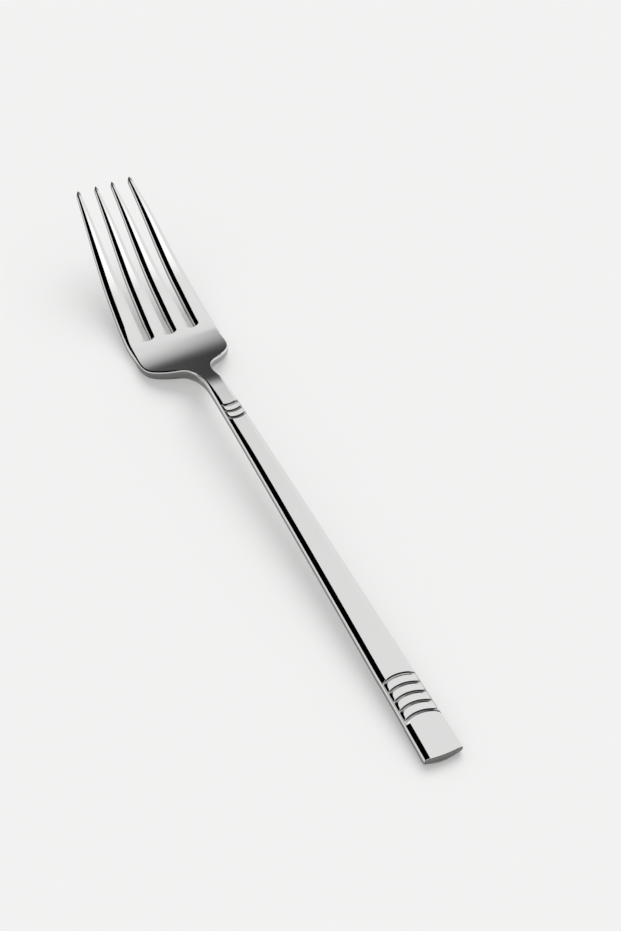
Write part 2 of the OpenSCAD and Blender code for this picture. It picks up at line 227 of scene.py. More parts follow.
def follow(rows, y):
    """The smooth curve through rows of station, value and slope, y millimetres from the handle end."""
    i = 0
    while i < len(rows) - 2 and y > rows[i + 1][0] * LENGTH:
        i += 1
    (y0, a, sa), (y1, b, sb) = rows[i], rows[i + 1]
    h = (y1 - y0) * LENGTH
    t = (y - y0 * LENGTH) / h
    return (a * (2 * t**3 - 3 * t**2 + 1) + sa * h * (t**3 - 2 * t**2 + t)
            + b * (3 * t**2 - 2 * t**3) + sb * h * (t**3 - t**2))


def bezier(points, t):
    (a, b, c, d), s = points, 1 - t
    return [s**3 * p + 3 * s * s * t * q + 3 * s * t * t * r + t**3 * w
            for p, q, r, w in zip(a, b, c, d)]


def fillet(before, corner, after, radius, n):
    """n + 1 points that round a corner between two neighbours, no further than 45% along either side."""
    before, corner, after = Vector(before), Vector(corner), Vector(after)
    u, v = before - corner, after - corner
    half = u.angle(v, math.pi) / 2
    cut = min(radius / max(math.tan(half), 1e-6), 0.45 * u.length, 0.45 * v.length)
    a, b = corner + u.normalized() * cut, corner + v.normalized() * cut
    steps = [i / n for i in range(n + 1)]
    return [tuple(a * (1 - t) ** 2 + corner * 2 * t * (1 - t) + b * t * t) for t in steps]


def lip(depth, radius):
    """How far a rounded edge draws in at a given depth below it."""
    return 0 if depth >= radius else radius - math.sqrt(max(0.0, radius**2 - (radius - depth) ** 2))


def top_at(y):
    return follow(TOP, y)


def thick_at(y):
    return min(follow(THICK, y), top_at(y))


def edge_at(y):
    return follow(EDGE, y)


def flare_at(y):
    """How much wider a bevel is across the fork than square to a slanting edge."""
    return math.hypot(1, (edge_at(y + 0.2) - edge_at(y - 0.2)) / 0.4)


def root_line():
    return ROOT * LENGTH


def wall_below(foot, thick):
    """Points straight down from the foot of a bevel to the underside."""
    return [(foot[0], mix(foot[1], thick, i / WALL_POINTS)) for i in range(1, WALL_POINTS + 1)]


class Sections:
    """Sections of the fork, each a closed ring of points x, z and how far each is ground and painted dark as
    shade.
    """

    def __init__(self, sizes):
        self.s = sizes
        self.rim = sizes.slot_half + sizes.slot_bevel * sizes.slot_squash

    def side(self, bevel, drop, thick, other, share):
        """Outward reach and depth of one side, from the flat of the top face to the underside."""
        h = thick - drop
        control = [(mix(p[0], q[0], share) * h, drop + mix(p[1], q[1], share) * h)
                   for p, q in zip(SIDE_CURVE, other)]
        flat = fillet((-bevel - 1, 0), (-bevel, 0), (0, drop), self.s.flat_round, FLAT_CELLS)
        edge = fillet((-bevel, 0), (0, drop), bezier(control, EDGE_AIM), self.s.edge_round, EDGE_CELLS)
        return flat + edge + [tuple(bezier(control, t)) for t in SIDE_STEPS]

    def finish(self, y, hand):
        """How far each point of a side is ground and painted dark as shade, on the left and on the right of
        a section.
        """
        share, shine = y / LENGTH, follow(SHINE, y)
        tip = clamp((y - LENGTH + TIP_GROUND_AND_SHADE) / TIP_FADE)
        sole = within(share, *SOLE)
        shoulder = within(share, *SHOULDER) if hand > 0 else 0
        lefts, rights = [tip] * FLAT_POINTS, [tip] * FLAT_POINTS
        for t in SIDE_STEPS:
            below = 1 - sole * clamp((t - SOLE_TOP) / SOLE_FADE)
            foot = clamp((t - SHOULDER_FOOT) / GROUND_AND_SHADE_FADE)
            lefts.append(max(tip, clamp((t - shine) / GROUND_AND_SHADE_FADE) * below))
            # The right shoulder's wall keeps less of the dark ground colour: that side is painted lighter
            rights.append(lefts[-1] * (1 - shoulder * (SHOULDER_SHADE_LIFT + SHOULDER_FOOT_SHADE_LIFT * foot)))
        return lefts, rights

    def ring(self, y, left, right, flat_cells, hand=1):
        """Closes a section whose left and right are the x of an edge and its side."""
        z = top_at(y)
        ground_and_shade_left, ground_and_shade_right = self.finish(y, hand)
        rights = [(right[0] + p[0], z - p[1], g) for p, g in zip(right[1], ground_and_shade_right)]
        lefts = [(left[0] - p[0], z - p[1], g) for p, g in zip(left[1], ground_and_shade_left)]
        a, b, foot = lefts[0][0], rights[0][0], rights[-1]
        top = [(mix(a, b, i / flat_cells), z, ground_and_shade_left[0]) for i in range(1, flat_cells)]
        base = [(mix(foot[0], lefts[-1][0], i / BASE_CELLS), foot[1], 0.0) for i in range(1, BASE_CELLS)]
        return top + rights + base + lefts[::-1]

    def body_side(self, y):
        half = edge_at(y)
        bevel = min(follow(BEVEL, y) * flare_at(y), half * BODY_BEVEL_MOST)
        return half, self.side(bevel, follow(DROP, y), thick_at(y), HEEL_CURVE, clamp(follow(TUCK, y)))

    def body(self, y):
        half, side = self.body_side(y)
        return self.ring(y, (-half, side), (half, side), BODY_CELLS)

    def slot_side(self, y, line):
        """The side of a strip along a slot, whose round end is centred on the root line."""
        s, back, thick = self.s, max(0.0, root_line() - y), thick_at(y)
        if back >= self.rim + SLOT_MARGIN:
            return line, [(0, 0)] * FLAT_POINTS + wall_below((0, 0), thick)
        profile = self.side(s.slot_bevel, s.slot_drop, thick, SIDE_CURVE, 0)[:FLAT_POINTS]
        drawn = []
        for reach, depth in profile:
            along = s.slot_half - reach * s.slot_squash
            if back < along:
                across = math.sqrt(1 - (back / along) ** 2)
                drawn.append((reach * across - s.slot_half * across, depth))
            else:
                drawn.append((0, self.bevel_depth(profile, (back - s.slot_half) / s.slot_squash)))
        return line, drawn + wall_below(drawn[-1], thick)

    @staticmethod
    def bevel_depth(profile, distance):
        """Depth of a side's bevel at a distance in from its edge."""
        for (a, da), (b, db) in zip(profile, profile[1:]):
            if -distance <= b:
                return mix(da, db, clamp((-distance - a) / max(b - a, 1e-6)))
        return profile[-1][1]

    def tine(self, y, kind):
        """Left and right side of a tine, which near its root turn into those of the slot's end."""
        s, t = self.s, (y - root_line()) / (LENGTH - root_line())
        root_mid, tip_mid, bow, root_half, tip_half = TINES[kind]
        past = max(0.0, TIP_ROUND - (LENGTH - y)) * TIP_CUT / TIP_ROUND
        scale = math.sqrt(max(TIP_LEAST, 1 - past**2))
        middle = mix(root_mid, tip_mid, t) + bow * 4 * t * (1 - t)
        half = (mix(root_half, tip_half, t) + TINE_SWELL * 4 * t * (1 - t)) * scale
        thick = thick_at(y) * mix(TIP_THICK, 1, scale)
        grow, fade = clamp(t / TINE_GROW), 1 - BEVEL_SHRINK * max(0.0, t * 2 - 1) ** SHRINK_POWER
        bevels = ((s.slot_bevel, s.slot_drop), (follow(BEVEL, root_line()), follow(DROP, root_line())))
        made = []
        for outside, (b0, d0) in enumerate(bevels):
            full = (s.tine_bevel, s.outer_bevel)[outside]
            bevel = min(mix(b0, full, grow) * fade, half * TINE_BEVEL_MOST)
            drop = min(mix(d0 / b0, s.tine_drop / s.tine_bevel, grow) * bevel, thick * DROP_MOST)
            side = self.side(bevel, drop, thick, TINE_CURVE, grow)
            if not outside:
                plain = wall_below(side[FLAT_POINTS - 1], thick)
                side[FLAT_POINTS:] = [(mix(p[0], q[0], grow), mix(p[1], q[1], grow))
                                      for p, q in zip(plain, side[FLAT_POINTS:])]
            made.append(side)
        return (middle - half, made[0]), (middle + half, made[1] if kind == OUTER else made[0])

    def strip(self, y, kind, hand):
        """Section of one quarter of the head: a strip of the palm that runs on as a tine."""
        if y > root_line():
            left, right = self.tine(y, kind)
        else:
            line = SLOT_OFFSET * min(1, edge_at(y) / edge_at(root_line() - self.rim - SLOT_MARGIN))
            left = self.slot_side(y, line if kind == OUTER else 0)
            right = self.body_side(y) if kind == OUTER else self.slot_side(y, line)
        points = self.ring(y, left, right, STRIP_CELLS, hand)
        return points if hand > 0 else [(-x, z, g) for x, z, g in points]


class Field:
    """A run of grooves cut across the top face, whose lines are arcs of one radius.

    It is cut as one shallow recess, and the ribs stand in it as pieces of their own.
    """

    def __init__(self, sizes, first, pitch, count, radius, side, rounds, start, end):
        self.s, self.pitch, self.count, self.radius = sizes, pitch, count, radius
        self.side, self.rounds = side, rounds
        self.first, self.start, self.end = first * LENGTH, start * LENGTH, end * LENGTH

    def bend(self, x):
        """How far an arc has moved along the fork at a distance from the middle."""
        x = min(abs(x), self.radius * ARC_MOST)
        return -self.side * (self.radius - math.sqrt(self.radius**2 - x**2))

    def rows(self):
        """Rows of station, share of the arc, depth and ground with painted shade, from the start to the end
        of the field.
        """
        deep, first, last = self.s.groove_depth, self.first, self.first + self.pitch * (self.count - 1)
        near, far = first - self.s.ramp_run, last + self.s.wall_run
        ramp = fillet((near - 1, 0), (near, 0), (first, deep), RAMP_ROUND, 3)
        wall = fillet((last - 1, deep), (last, deep), (far, 0), WALL_ROUND, 2)
        brow = fillet((last, deep), (far, 0), (far + 1, 0), BROW_ROUND, 3)
        middle = [(mix(first, last, i / FLOOR_ROWS), deep) for i in range(FLOOR_ROWS)]
        before, after = spaced(self.start, near, FIELD_STEP)[:-1], spaced(far, self.end, FIELD_STEP)[1:]
        out = [(y, (y - self.start) / (near - self.start), 0, 0.0) for y in before]
        out += [(y, 1, depth, 0.0) for y, depth in ramp]
        # The floor and the far wall of the grooves take the dark ground colour as painted shade in the
        # recess
        out += [(y, 1, depth, 1.0) for y, depth in middle + wall]
        out += [(y, 1, depth, 0.0) for y, depth in brow]
        return out + [(y, (self.end - y) / (self.end - far), 0, 0.0) for y in after]

    def cut(self, points, y, share, depth, dull_and_shade):
        """A section's points with the recess cut into them, which fades out in the bevels; the cut floor
        takes the dark ground colour, painted shade in the recess.
        """
        half, bevel, row = edge_at(y), follow(BEVEL, y), []
        for x, z, g in points:
            left_over = half - bevel * FADE_END - abs(x)
            floor = top_at(y) - depth * clamp(left_over / (bevel * FADE_RUN))
            row.append((x, y + share * self.bend(x), min(z, floor), dull_and_shade if floor < z else g))
        return row

    def rib(self, i):
        """Rows of points round one rib, from its foot up to its crowned top."""
        s = self.s
        foot = (self.first + self.pitch * i, self.first + self.pitch * (i + 1))
        top = (foot[0] + s.wall_run, foot[1] - s.ramp_run)
        middle = (top[0] + top[1]) / 2
        half = edge_at(middle)
        reach = half - follow(BEVEL, middle) + s.rib_reach
        low = self.outline(half, *foot, RIB_FOOT_ROUND, RIB_FOOT_ROUND)
        high = self.outline(reach, *top, *self.rounds)

        def level(up, shrink=1.0):
            row = []
            for (x0, y0), (x1, y1) in zip(low, high):
                x, y = mix(x0, x1, up), mix(y0, y1, up)
                x, y = x * shrink, mix(middle, y, shrink)
                off = 2 * (y - middle) / (top[1] - top[0])
                lean = s.rib_lean * (y - top[1]) + s.rib_crown * (1 - off**2)
                z = top_at(y) - s.groove_depth * (1 - up) + clamp(up * 1.5 - 0.5) * lean
                # The rib's near side takes the dark ground colour as painted shade
                ground_and_shade = y < top[0] + RIB_GROUND_AND_SHADE and up < RIB_GROUND_AND_SHADE_TOP
                row.append((x, y + self.bend(x), z, 1.0 if ground_and_shade else 0.0))
            return row

        base = [(x, y, z - RIB_SINK, g) for x, y, z, g in level(0)]
        return [base] + [level(up) for up in RIB_LEVELS] + [level(1, shrink) for shrink in RIB_RINGS]

    @staticmethod
    def outline(half, near, far, near_round, far_round):
        """Points round a rectangle with a radius for its near and one for its far corners."""
        corners = ((1, near, near_round, -90, ALONG_CELLS), (1, far, far_round, 0, ACROSS_CELLS),
                   (-1, far, far_round, 90, ALONG_CELLS), (-1, near, near_round, 180, ACROSS_CELLS))
        arcs = []
        for hand, y, r, start, cells in corners:
            cx, cy = hand * (half - r), y + (r if y == near else -r)
            turns = [math.radians(start + 90 * k / CORNER_CELLS) for k in range(CORNER_CELLS + 1)]
            arcs.append(([(cx + r * math.cos(turn), cy + r * math.sin(turn)) for turn in turns], cells))
        points = []
        for (arc, cells), (following, _) in zip(arcs, arcs[1:] + arcs[:1]):
            p, q = arc[-1], following[0]
            points += arc
            points += [(mix(p[0], q[0], j / cells), mix(p[1], q[1], j / cells)) for j in range(1, cells)]
        return points


def make_fields(sizes):
    return (Field(sizes, END_GROOVE, END_PITCH, END_GROOVES, END_ARC, 1, END_RIB_ROUNDS, PAD_END, END_ZONE),
            Field(sizes, NECK_GROOVE, NECK_PITCH, NECK_GROOVES, NECK_ARC, -1, NECK_RIB_ROUNDS,
                  NECK_ZONE, NECK_ZONE_END))


def end_inset(sizes, x, z, y):
    """How far the handle end draws in from its furthest point, across and down the end face."""
    half, top, thick = EDGE[0][1], top_at(y), thick_at(y)
    across, down = min(1, abs(x) / half) ** 2, clamp((top - z) / thick)
    over = min(abs(x), half) - (half - sizes.end_corner)
    corner = sizes.end_corner - math.sqrt(max(0.0, sizes.end_corner**2 - over**2)) if over > 0 else 0
    bulge = sizes.end_bulge * max(0.0, 1 - down / BULGE_REACH) ** 2
    return (sizes.end_sag * across + corner + lip(top - z, sizes.end_lip) + bulge
            + sizes.end_heel * max(0.0, down - HEEL_TOP) ** 2 * (HEEL_EVEN + across))


def body_rows(sizes):
    """Rows of points round the body, from the handle end to just past the start of the palm."""
    sections, rows = Sections(sizes), []

    def plain(y):
        return [(x, y, z, g) for x, z, g in sections.body(y)]

    middle = top_at(0) - thick_at(0) * END_MIDDLE
    for t in END_LEVELS:
        face = [(x, mix(z, middle, t)) for x, z, _ in sections.body(0)]
        # The end face takes the dark ground colour all over, as painted shade
        rows.append([(x, end_inset(sizes, x, z, 0), z, 1.0) for x, z in face])
    for y in END_STATIONS:
        k = clamp(1 - y / END_FADE)
        rows.append([(x, y + k * end_inset(sizes, x, z, y), z, g) for x, z, g in sections.body(y)])
    fields, last = make_fields(sizes), PALM_START * LENGTH
    for field, until, step in zip(fields, (fields[1].start, last), (BODY_STEP, NECK_STEP)):
        rows += [field.cut(sections.body(row[0]), *row) for row in field.rows()]
        rows += [plain(y) for y in spaced(field.end, until, step)[1:-1]]
    return rows + [plain(last), plain(last + JOIN)]


def sheet(rows, skip=None):
    """A bmesh grid laid through rows of points; every row closes on itself.

    Cells whose column and row pass the skip test are left open.
    """
    bm = bmesh.new()
    columns, bands = len(rows[0]), len(rows) - 1
    bmesh.ops.create_grid(bm, x_segments=columns, y_segments=bands, size=1)

    def cell(point):
        return (point.x + 1) / 2 * columns, (point.y + 1) / 2 * bands

    if skip:
        gone = [f for f in bm.faces if skip(*map(int, cell(f.calc_center_median())))]
        bmesh.ops.delete(bm, geom=gone, context="FACES")
    # Each point keeps how far it is ground, which also paints it dark as shade
    ground_and_shade = bm.verts.layers.float.new("ground_and_shade")
    for v in bm.verts:
        i, j = map(round, cell(v.co))
        x, y, z, g = rows[j][i % columns]
        v.co = (x, y, z)
        v[ground_and_shade] = g
    return bm


def settle(bm):
    """Welds a shape, turns its faces outward and keeps its smooth normals, so that a cut shows no seam."""
    bmesh.ops.remove_doubles(bm, verts=bm.verts, dist=1e-4)
    bmesh.ops.delete(bm, geom=[e for e in bm.edges if not e.link_faces], context="EDGES")
    bmesh.ops.recalc_face_normals(bm, faces=bm.faces)
    layer = bm.verts.layers.float_vector.new("whole")
    for v in bm.verts:
        n = Vector()
        for f in v.link_faces:
            n += f.normal * f.calc_area()
        v[layer] = n.normalized()
    return bm


def close_ends(bm):
    """Fills whatever holes a shape still has."""
    open_edges = [e for e in bm.edges if e.is_boundary]
    if open_edges:
        bmesh.ops.holes_fill(bm, edges=open_edges, sides=0)
    return bm


def cut_out(whole, keep):
    """A copy of the part of a bmesh whose faces pass a test, with its cuts closed."""
    bm = whole.copy()
    bmesh.ops.delete(bm, geom=[f for f in bm.faces if not keep(f.calc_center_median())], context="FACES")
    return close_ends(bm)


def head_stations(sections):
    """Stations from the palm to the tips, closest round the ends of the slots and at the tips."""
    s, root, start = sections.s, root_line(), PALM_START * LENGTH
    margin = sections.rim + SLOT_MARGIN
    ys = [start - JOIN] + spaced(start, root - margin, PALM_STEP)
    for radius in (margin, sections.rim, (s.slot_half + sections.rim) / 2, s.slot_half):
        ys += [root - radius * math.cos(math.pi / 2 * i / SLOT_ROWS) for i in range(SLOT_ROWS)]
    ys += [root] + spaced(root, root + NEAR_ROOT, TINE_STEP)[1:]
    ys += spaced(root + NEAR_ROOT, LENGTH - TIP_ROUND, TIP_STEP)[1:]
    ys += [LENGTH - TIP_ROUND * level for level in TIP_LEVELS]
    out = []
    for y in sorted(ys):
        if not out or y - out[-1] > LEAST_STEP or y in (root, root - s.slot_half):
            out.append(y)
    return out


def head_shape(sizes):
    """The palm and the tines as four strips, whose walls are left out where two of them meet."""
    sections = Sections(sizes)
    ys = head_stations(sections)
    end = root_line() - sizes.slot_half
    side = STRIP_CELLS - 1
    right_wall = set(range(side + FLAT_POINTS - 1, side + SIDE_POINTS))
    base = side + SIDE_POINTS + BASE_CELLS - 1
    left_wall = set(range(base - 1, base + WALL_POINTS))
    whole, temp = bmesh.new(), bpy.data.meshes.new("strip")
    for kind in (OUTER, INNER):
        shut = left_wall | (right_wall if kind == INNER else set())
        for hand in (-1, 1):
            rows = [[(x, y, z, g) for x, z, g in sections.strip(y, kind, hand)] for y in ys]
            bm = sheet(rows, lambda i, j: i in shut and ys[j + 1] <= end + 0.001)
            bm.to_mesh(temp)
            bm.free()
            whole.from_mesh(temp)
    bpy.data.meshes.remove(temp)
    return settle(whole)


def finish_piece(name, bm, node):
    """Puts a bmesh into the frame as the piece that stands for a node."""
    whole = bm.verts.layers.float_vector.get("whole")
    normals = [v[whole].copy() for v in bm.verts]
    place = Matrix.Scale(MM, 4) @ Matrix.Translation((0, -LENGTH / 2, 0))
    bmesh.ops.transform(bm, matrix=place, verts=bm.verts)
    for f in bm.faces:
        f.smooth = True
    mesh = bpy.data.meshes.new(name)
    bm.to_mesh(mesh)
    bm.free()
    if not mesh.polygons:
        raise RuntimeError(f"{name} has no faces")
    mesh.normals_split_custom_set_from_vertices(normals)
    mesh.attributes.remove(mesh.attributes["whole"])
    piece = bpy.data.objects.new(name, mesh)
    bpy.context.scene.collection.objects.link(piece)
    mesh.materials.append(steel_material())
    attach(piece, "root")
    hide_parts(node)
    return piece


class Value:
    """A socket that can be used in arithmetic."""

    def __init__(self, shader, socket):
        self.shader, self.socket = shader, socket

    def math(self, operation, *others):
        node = self.shader.tree.nodes.new("ShaderNodeMath")
        node.operation = operation
        for slot, item in zip(node.inputs, (self, *others)):
            self.shader.feed(slot, item)
        return Value(self.shader, node.outputs[0])

    def __add__(self, other):
        return self.math("ADD", other)

    def __mul__(self, other):
        return self.math("MULTIPLY", other)

    def __sub__(self, other):
        return self.math("SUBTRACT", other)

    __radd__, __rmul__ = __add__, __mul__

    def __rsub__(self, other):
        return (self * -1.0) + other

    def larger(self, other):
        return self.math("MAXIMUM", other)

    def ramp(self, low, high):
        """Rises smoothly from 0 to 1 between two values."""
        smooth = {"interpolation_type": "SMOOTHSTEP"}
        return self.shader.get("ShaderNodeMapRange", 0, smooth, Value=self, From_Min=low, From_Max=high)

    def blend(self, low, high):
        """Goes from low to high as this value goes from 0 to 1."""
        return self * (high - low) + low


class Shader:
    """Builds a material's or a world's node tree."""

    def __init__(self, owner):
        owner.use_nodes = True
        self.tree = owner.node_tree
        self.tree.nodes.clear()

    def feed(self, socket, value):
        if isinstance(value, Value):
            self.tree.links.new(value.socket, socket)
        else:
            socket.default_value = value

    def add(self, kind, settings=None, **inputs):
        node = self.tree.nodes.new(kind)
        for key, value in (settings or {}).items():
            setattr(node, key, value)
        for key, value in inputs.items():
            self.feed(node.inputs[key.replace("_", " ")], value)
        return node

    def curve(self, value, points):
        """The smooth curve through points of value and result, each from 0 to 1."""
        node = self.add("ShaderNodeFloatCurve", Value=value)
        line = node.mapping.curves[0]
        line.points[0].location, line.points[1].location = points[0], points[-1]
        for point in points[1:-1]:
            line.points.new(*point)
        node.mapping.update()
        return Value(self, node.outputs[0])

    def get(self, kind, output=0, settings=None, **inputs):
        return Value(self, self.add(kind, settings, **inputs).outputs[output])

    def path(self, ray):
        """1 for rays of one kind, such as those that come from a reflection."""
        return self.get("ShaderNodeLightPath", ray)


def steel_material():
    """Mirror-polished steel whose edges are left a little ground; the ground parts also take a dark colour
    that is painted shade.
    """
    made = bpy.data.materials.get("fork_steel")
    if made:
        return made
    finish = bpy.context.scene.fork_finish
    made = bpy.data.materials.new("fork_steel")
    sh = Shader(made)
    place = sh.get("ShaderNodeTexCoord", "Object")
    ground_and_shade = sh.get("ShaderNodeAttribute", "Fac", {"attribute_name": "ground_and_shade"})
    haze = sh.get("ShaderNodeTexNoise", "Fac", Vector=place, Scale=HAZE_SCALE, Detail=3.0, Roughness=0.6)
    grain = sh.get("ShaderNodeTexNoise", "Fac", Vector=place, Scale=GRAIN_SCALE, Detail=2.0)
    polish = (haze - 0.5) * HAZE_DEPTH + finish.polish
    edges = (grain - 0.5) * GRAIN_DEPTH + finish.ground_and_shade
    # The ground parts take the dark colour, partly ground steel and partly painted shade
    tint = sh.add("ShaderNodeMix", {"data_type": "RGBA"})
    sh.feed(tint.inputs["Factor"], ground_and_shade)
    sh.feed(tint.inputs[6], (*finish.steel, 1))
    sh.feed(tint.inputs[7], (*finish.dull_and_shade, 1))
    body = sh.add(
        "ShaderNodeBsdfPrincipled", Base_Color=Value(sh, tint.outputs[2]), Metallic=1.0,
        Roughness=ground_and_shade * (edges - polish) + polish)
    sh.add("ShaderNodeOutputMaterial", Surface=Value(sh, body.outputs[0]))
    return made


class ForkSizes(bpy.types.PropertyGroup):
    """Fine sizes of the fork's edges and grooves, in millimetres."""
    flat_round: FloatProperty(
        name="Flat edge rounding", description="Radius where the top turns into its bevel, mm", default=0.08)
    edge_round: FloatProperty(
        name="Outer edge rounding", description="Radius where a bevel turns into the side, mm", default=0.14)
    slot_half: FloatProperty(
        name="Slot half width", description="Half the width of a slot at its root, mm", default=1.04)
    slot_bevel: FloatProperty(
        name="Slot bevel", description="Width of the bevel at a slot's root, mm", default=0.95)
    slot_drop: FloatProperty(
        name="Slot bevel drop", description="Depth of the bevel at a slot's root, mm", default=0.62)
    slot_squash: FloatProperty(
        name="Slot bevel end", description="Share of a slot's bevel that is left at its end", default=0.16)
    tine_bevel: FloatProperty(
        name="Tine bevel", description="Width of the bevels between the tines, mm", default=1.04)
    outer_bevel: FloatProperty(
        name="Outer bevel", description="Width of the outer tines' outer bevels, mm", default=1.16)
    tine_drop: FloatProperty(
        name="Tine bevel drop", description="Depth of the tines' bevels, mm", default=0.65)
    groove_depth: FloatProperty(
        name="Groove depth", description="Depth of the grooves across the handle, mm", default=0.31)
    ramp_run: FloatProperty(
        name="Groove ramp", description="Length of a groove's gentle side, mm", default=0.85)
    wall_run: FloatProperty(
        name="Groove wall", description="Length of a groove's steep side, mm", default=0.2)
    rib_reach: FloatProperty(
        name="Rib reach", description="How far a rib reaches into the bevel, mm", default=0.4)
    rib_lean: FloatProperty(
        name="Rib lean", description="Slope of a rib's top toward the handle end", default=0.05)
    rib_crown: FloatProperty(
        name="Rib crown", description="Rise of a rib's top in its middle, mm", default=0.012)
    end_sag: FloatProperty(
        name="End bow", description="How far the handle end bows out, mm", default=0.4)
    end_corner: FloatProperty(
        name="End corner", description="Radius of the handle end's corners, mm", default=0.25)
    end_lip: FloatProperty(
        name="End lip", description="Radius of the handle end's upper edge, mm", default=0.07)
    end_heel: FloatProperty(
        name="End heel", description="How far the handle end is cut back below, mm", default=1.3)
    end_bulge: FloatProperty(
        name="End bulge", description="How far the end face swells below its edge, mm", default=0.22)


class ForkFinishAndShade(bpy.types.PropertyGroup):
    """Colour and polish of the steel, with the dark colour of the ground sides, which is partly painted
    shade.
    """
    steel: FloatVectorProperty(
        name="Steel", description="Colour that the polished steel reflects", default=(0.8, 0.8, 0.795),
        subtype="COLOR", min=0, max=1)
    # Dark colour of the ground parts, which also stands in for shade
    dull_and_shade: FloatVectorProperty(
        name="Ground steel", description="Colour of the ground sides", default=(0.19, 0.19, 0.187),
        subtype="COLOR", min=0, max=1)
    polish: FloatProperty(
        name="Polish", description="Roughness of the polished faces", default=0.035,
        min=0, max=1, subtype="FACTOR")
    ground_and_shade: FloatProperty(
        name="Ground edges", description="Roughness of the ground sides", default=0.24,
        min=0, max=1, subtype="FACTOR")


class StudioLight(bpy.types.PropertyGroup):
    """The table and the light round it."""
    table: FloatVectorProperty(
        name="Table", description="Colour of the table", default=(0.905, 0.905, 0.9),
        subtype="COLOR", min=0, max=1)
    ambient: FloatProperty(
        name="Room light", description="Even light from the room", default=0.6, min=0)
    key: FloatProperty(
        name="Key light", description="Strength of the soft light from above", default=1.5, min=0)
    spread: FloatProperty(
        name="Key softness", description="How wide the key light is", default=math.radians(50),
        subtype="ANGLE")
    glow: FloatProperty(
        name="Lit table", description="Share of the table's white that no shadow dims", default=0.3,
        min=0, max=1, subtype="FACTOR")
    sky: FloatProperty(
        name="Reflector", description="Brightness of the panel the steel mirrors", default=0.9, min=0)
    dusk: FloatProperty(
        name="Far dark", description="Brightness of the room beyond the table", default=0.09, min=0)


def lay_table(light):
    """A plain pale table, part of whose white stays lit in the shadow."""
    bm = bmesh.new()
    bmesh.ops.create_grid(bm, x_segments=1, y_segments=1, size=TABLE_HALF)
    bmesh.ops.translate(bm, verts=bm.verts, vec=TABLE_PLACE)
    mesh = bpy.data.meshes.new("table")
    bm.to_mesh(mesh)
    bm.free()
    table = bpy.data.objects.new("table", mesh)
    bpy.context.scene.collection.objects.link(table)
    cloth = bpy.data.materials.new("white_table")
    sh = Shader(cloth)
    body = sh.get(
        "ShaderNodeBsdfPrincipled", Base_Color=(*light.table, 1), Roughness=0.9, Specular_IOR_Level=0.0)
    lit = sh.get("ShaderNodeEmission", Color=(*light.table, 1), Strength=1.0)
    shown = sh.path("Is Camera Ray").larger(sh.path("Is Glossy Ray"))
    mixed = sh.add("ShaderNodeMixShader", Fac=shown * light.glow)
    sh.feed(mixed.inputs[1], body)
    sh.feed(mixed.inputs[2], lit)
    sh.add("ShaderNodeOutputMaterial", Surface=Value(sh, mixed.outputs[0]))
    mesh.materials.append(cloth)


def mirrored_room(sh, light):
    """Brightness of the panels and the dark round the table, by the direction in which they are seen."""
    split = sh.add("ShaderNodeSeparateXYZ", Vector=sh.get("ShaderNodeTexCoord", "Generated"))
    x, y, z = (Value(sh, split.outputs[axis]) for axis in "XYZ")
    askew = (x.ramp(*LEAN_X) - 0.5) * LEAN * y.ramp(*LEAN_Y)
    rise = sh.curve(z - askew, ((RISE_START, light.dusk), *RISE, (RISE_END, light.sky)))
    beside = x.ramp(*BESIDE_X) * z.ramp(*BESIDE_Z).blend(BESIDE_LOW, light.sky)
    gap = 1.0 - x.ramp(*GAP_X) * (1.0 - z.ramp(*GAP_Z))
    overhead = z.ramp(*OVERHEAD_Z) * y.ramp(*OVERHEAD_Y).blend(OVERHEAD, 0.0)
    dark_left = x.ramp(*DARK_LEFT_X).larger(z.ramp(*DARK_LEFT_Z))
    dark_back = y.ramp(*DARK_BACK_Y).larger(z.ramp(*DARK_BACK_Z))
    return ((rise * gap).larger(beside) + overhead) * dark_left * dark_back


def light_room(light):
    """An even pale room, in which only the steel sees the panels."""
    room = bpy.data.worlds.new("studio")
    bpy.context.scene.world = room
    room.cycles.sampling_method = "NONE"
    sh = Shader(room)
    plain = sh.path("Is Camera Ray") * (ROOM_WHITE - light.ambient) + light.ambient
    strength = sh.path("Is Glossy Ray") * (mirrored_room(sh, light) - plain) + plain
    back = sh.get("ShaderNodeBackground", Color=(1, 1, 1, 1), Strength=strength)
    sh.add("ShaderNodeOutputWorld", Surface=back)


def hang_key(light):
    """The soft light from above, which casts the fork's shadow."""
    key = bpy.data.lights.new("key", "SUN")
    key.energy, key.angle = light.key, light.spread
    lamp = bpy.data.objects.new("key", key)
    bpy.context.scene.collection.objects.link(lamp)
    lamp.rotation_mode = "QUATERNION"
    lamp.rotation_quaternion = Vector(KEY_WAY).to_track_quat("-Z", "Y")
    lamp.visible_glossy = False


def place_camera():
    """The photo's view, from above and behind the handle end."""
    data = bpy.data.cameras.new("camera")
    data.lens, data.sensor_width = LENS, SENSOR
    camera = bpy.data.objects.new("camera", data)
    bpy.context.scene.collection.objects.link(camera)
    across, up = Vector(CAMERA_ACROSS), Vector(CAMERA_UP)
    turn = Matrix((across, up, across.cross(up))).transposed().to_4x4()
    camera.matrix_world = Matrix.Translation(CAMERA_PLACE) @ turn
    bpy.context.scene.camera = camera


class FORK_OT_stage(bpy.types.Operator):
    """Lay the table and set up the studio light and the camera"""
    bl_idname = "fork.stage"
    bl_label = "Table, light and camera"

    def execute(self, context):
        light = context.scene.fork_light
        lay_table(light)
        light_room(light)
        hang_key(light)
        place_camera()
        context.scene.view_settings.view_transform = "Standard"
        return {"FINISHED"}


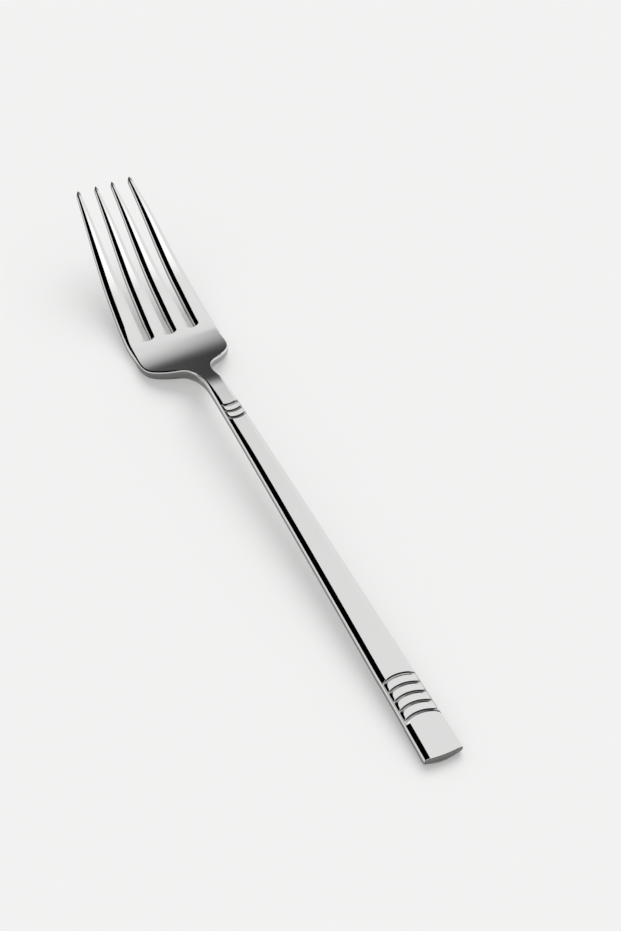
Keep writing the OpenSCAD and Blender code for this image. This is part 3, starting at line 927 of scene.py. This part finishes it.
class FORK_OT_handle(bpy.types.Operator):
    """Model the handle end, the shank and the neck as one run of metal"""
    bl_idname = "fork.handle"
    bl_label = "Handle and neck"

    def execute(self, context):
        body = settle(sheet(body_rows(context.scene.fork_sizes)))
        pad, neck, palm = (share * LENGTH for share in (PAD_END, NECK_ZONE, PALM_START))
        finish_piece("handle_end", cut_out(body, lambda c: c.y < pad), "end_pad")
        finish_piece("handle_shank", cut_out(body, lambda c: pad < c.y < neck), "shank")
        finish_piece("fork_neck", cut_out(body, lambda c: neck < c.y < palm), "neck")
        body.free()
        return {"FINISHED"}


class FORK_OT_head(bpy.types.Operator):
    """Model the palm and the four tines"""
    bl_idname = "fork.head"
    bl_label = "Palm and tines"

    def execute(self, context):
        head = head_shape(context.scene.fork_sizes)
        palm, root = PALM_START * LENGTH, root_line()
        finish_piece("fork_palm", cut_out(head, lambda c: palm < c.y < root), "palm")
        tines = (("outer_left_tine", -math.inf, -1), ("inner_left_tine", -1, 0),
                 ("inner_right_tine", 0, 1), ("outer_right_tine", 1, math.inf))
        for node, low, high in tines:
            def belongs(c, low=low, high=high):
                gap = mix(SLOT_OFFSET, SLOT_TIP_OFFSET, clamp((c.y - root) / (LENGTH - root)))
                return c.y > root and low < c.x / gap < high
            finish_piece("fork_" + node, cut_out(head, belongs), node).visible_glossy = False
        head.free()
        return {"FINISHED"}


class FORK_OT_ribs(bpy.types.Operator):
    """Model the ribs that stand between the grooves at both ends of the handle"""
    bl_idname = "fork.ribs"
    bl_label = "Ribs"

    def execute(self, context):
        for field, place in zip(make_fields(context.scene.fork_sizes), ("end", "neck")):
            for i in range(field.count - 1):
                rib = close_ends(settle(sheet(field.rib(i))))
                finish_piece(f"{place}_ridge_{i + 1}", rib, f"{place}_rib_{i + 1}")
        return {"FINISHED"}


class FORK_PT_panel(bpy.types.Panel):
    """Lists the steps that model the fork"""
    bl_idname = "FORK_PT_panel"
    bl_label = "Dinner fork"
    bl_space_type = "VIEW_3D"
    bl_region_type = "UI"
    bl_category = "Fork"

    def draw(self, context):
        for step in STEPS:
            self.layout.operator(step.bl_idname)
        for group in (context.scene.fork_sizes, context.scene.fork_finish, context.scene.fork_light):
            for name in group.bl_rna.properties.keys():
                if name not in ("rna_type", "name"):
                    self.layout.prop(group, name)


STEPS = (FORK_OT_stage, FORK_OT_handle, FORK_OT_head, FORK_OT_ribs)
CLASSES = (ForkSizes, ForkFinishAndShade, StudioLight, *STEPS, FORK_PT_panel)


def register():
    for item in CLASSES:
        bpy.utils.register_class(item)
    bpy.types.Scene.fork_sizes = PointerProperty(type=ForkSizes)
    bpy.types.Scene.fork_finish = PointerProperty(type=ForkFinishAndShade)
    bpy.types.Scene.fork_light = PointerProperty(type=StudioLight)


def unregister():
    del bpy.types.Scene.fork_light, bpy.types.Scene.fork_finish, bpy.types.Scene.fork_sizes
    for item in reversed(CLASSES):
        bpy.utils.unregister_class(item)


def main():
    register()
    bpy.ops.fork.stage()
    bpy.ops.fork.handle()
    bpy.ops.fork.head()
    bpy.ops.fork.ribs()


if __name__ == "__main__":
    main()
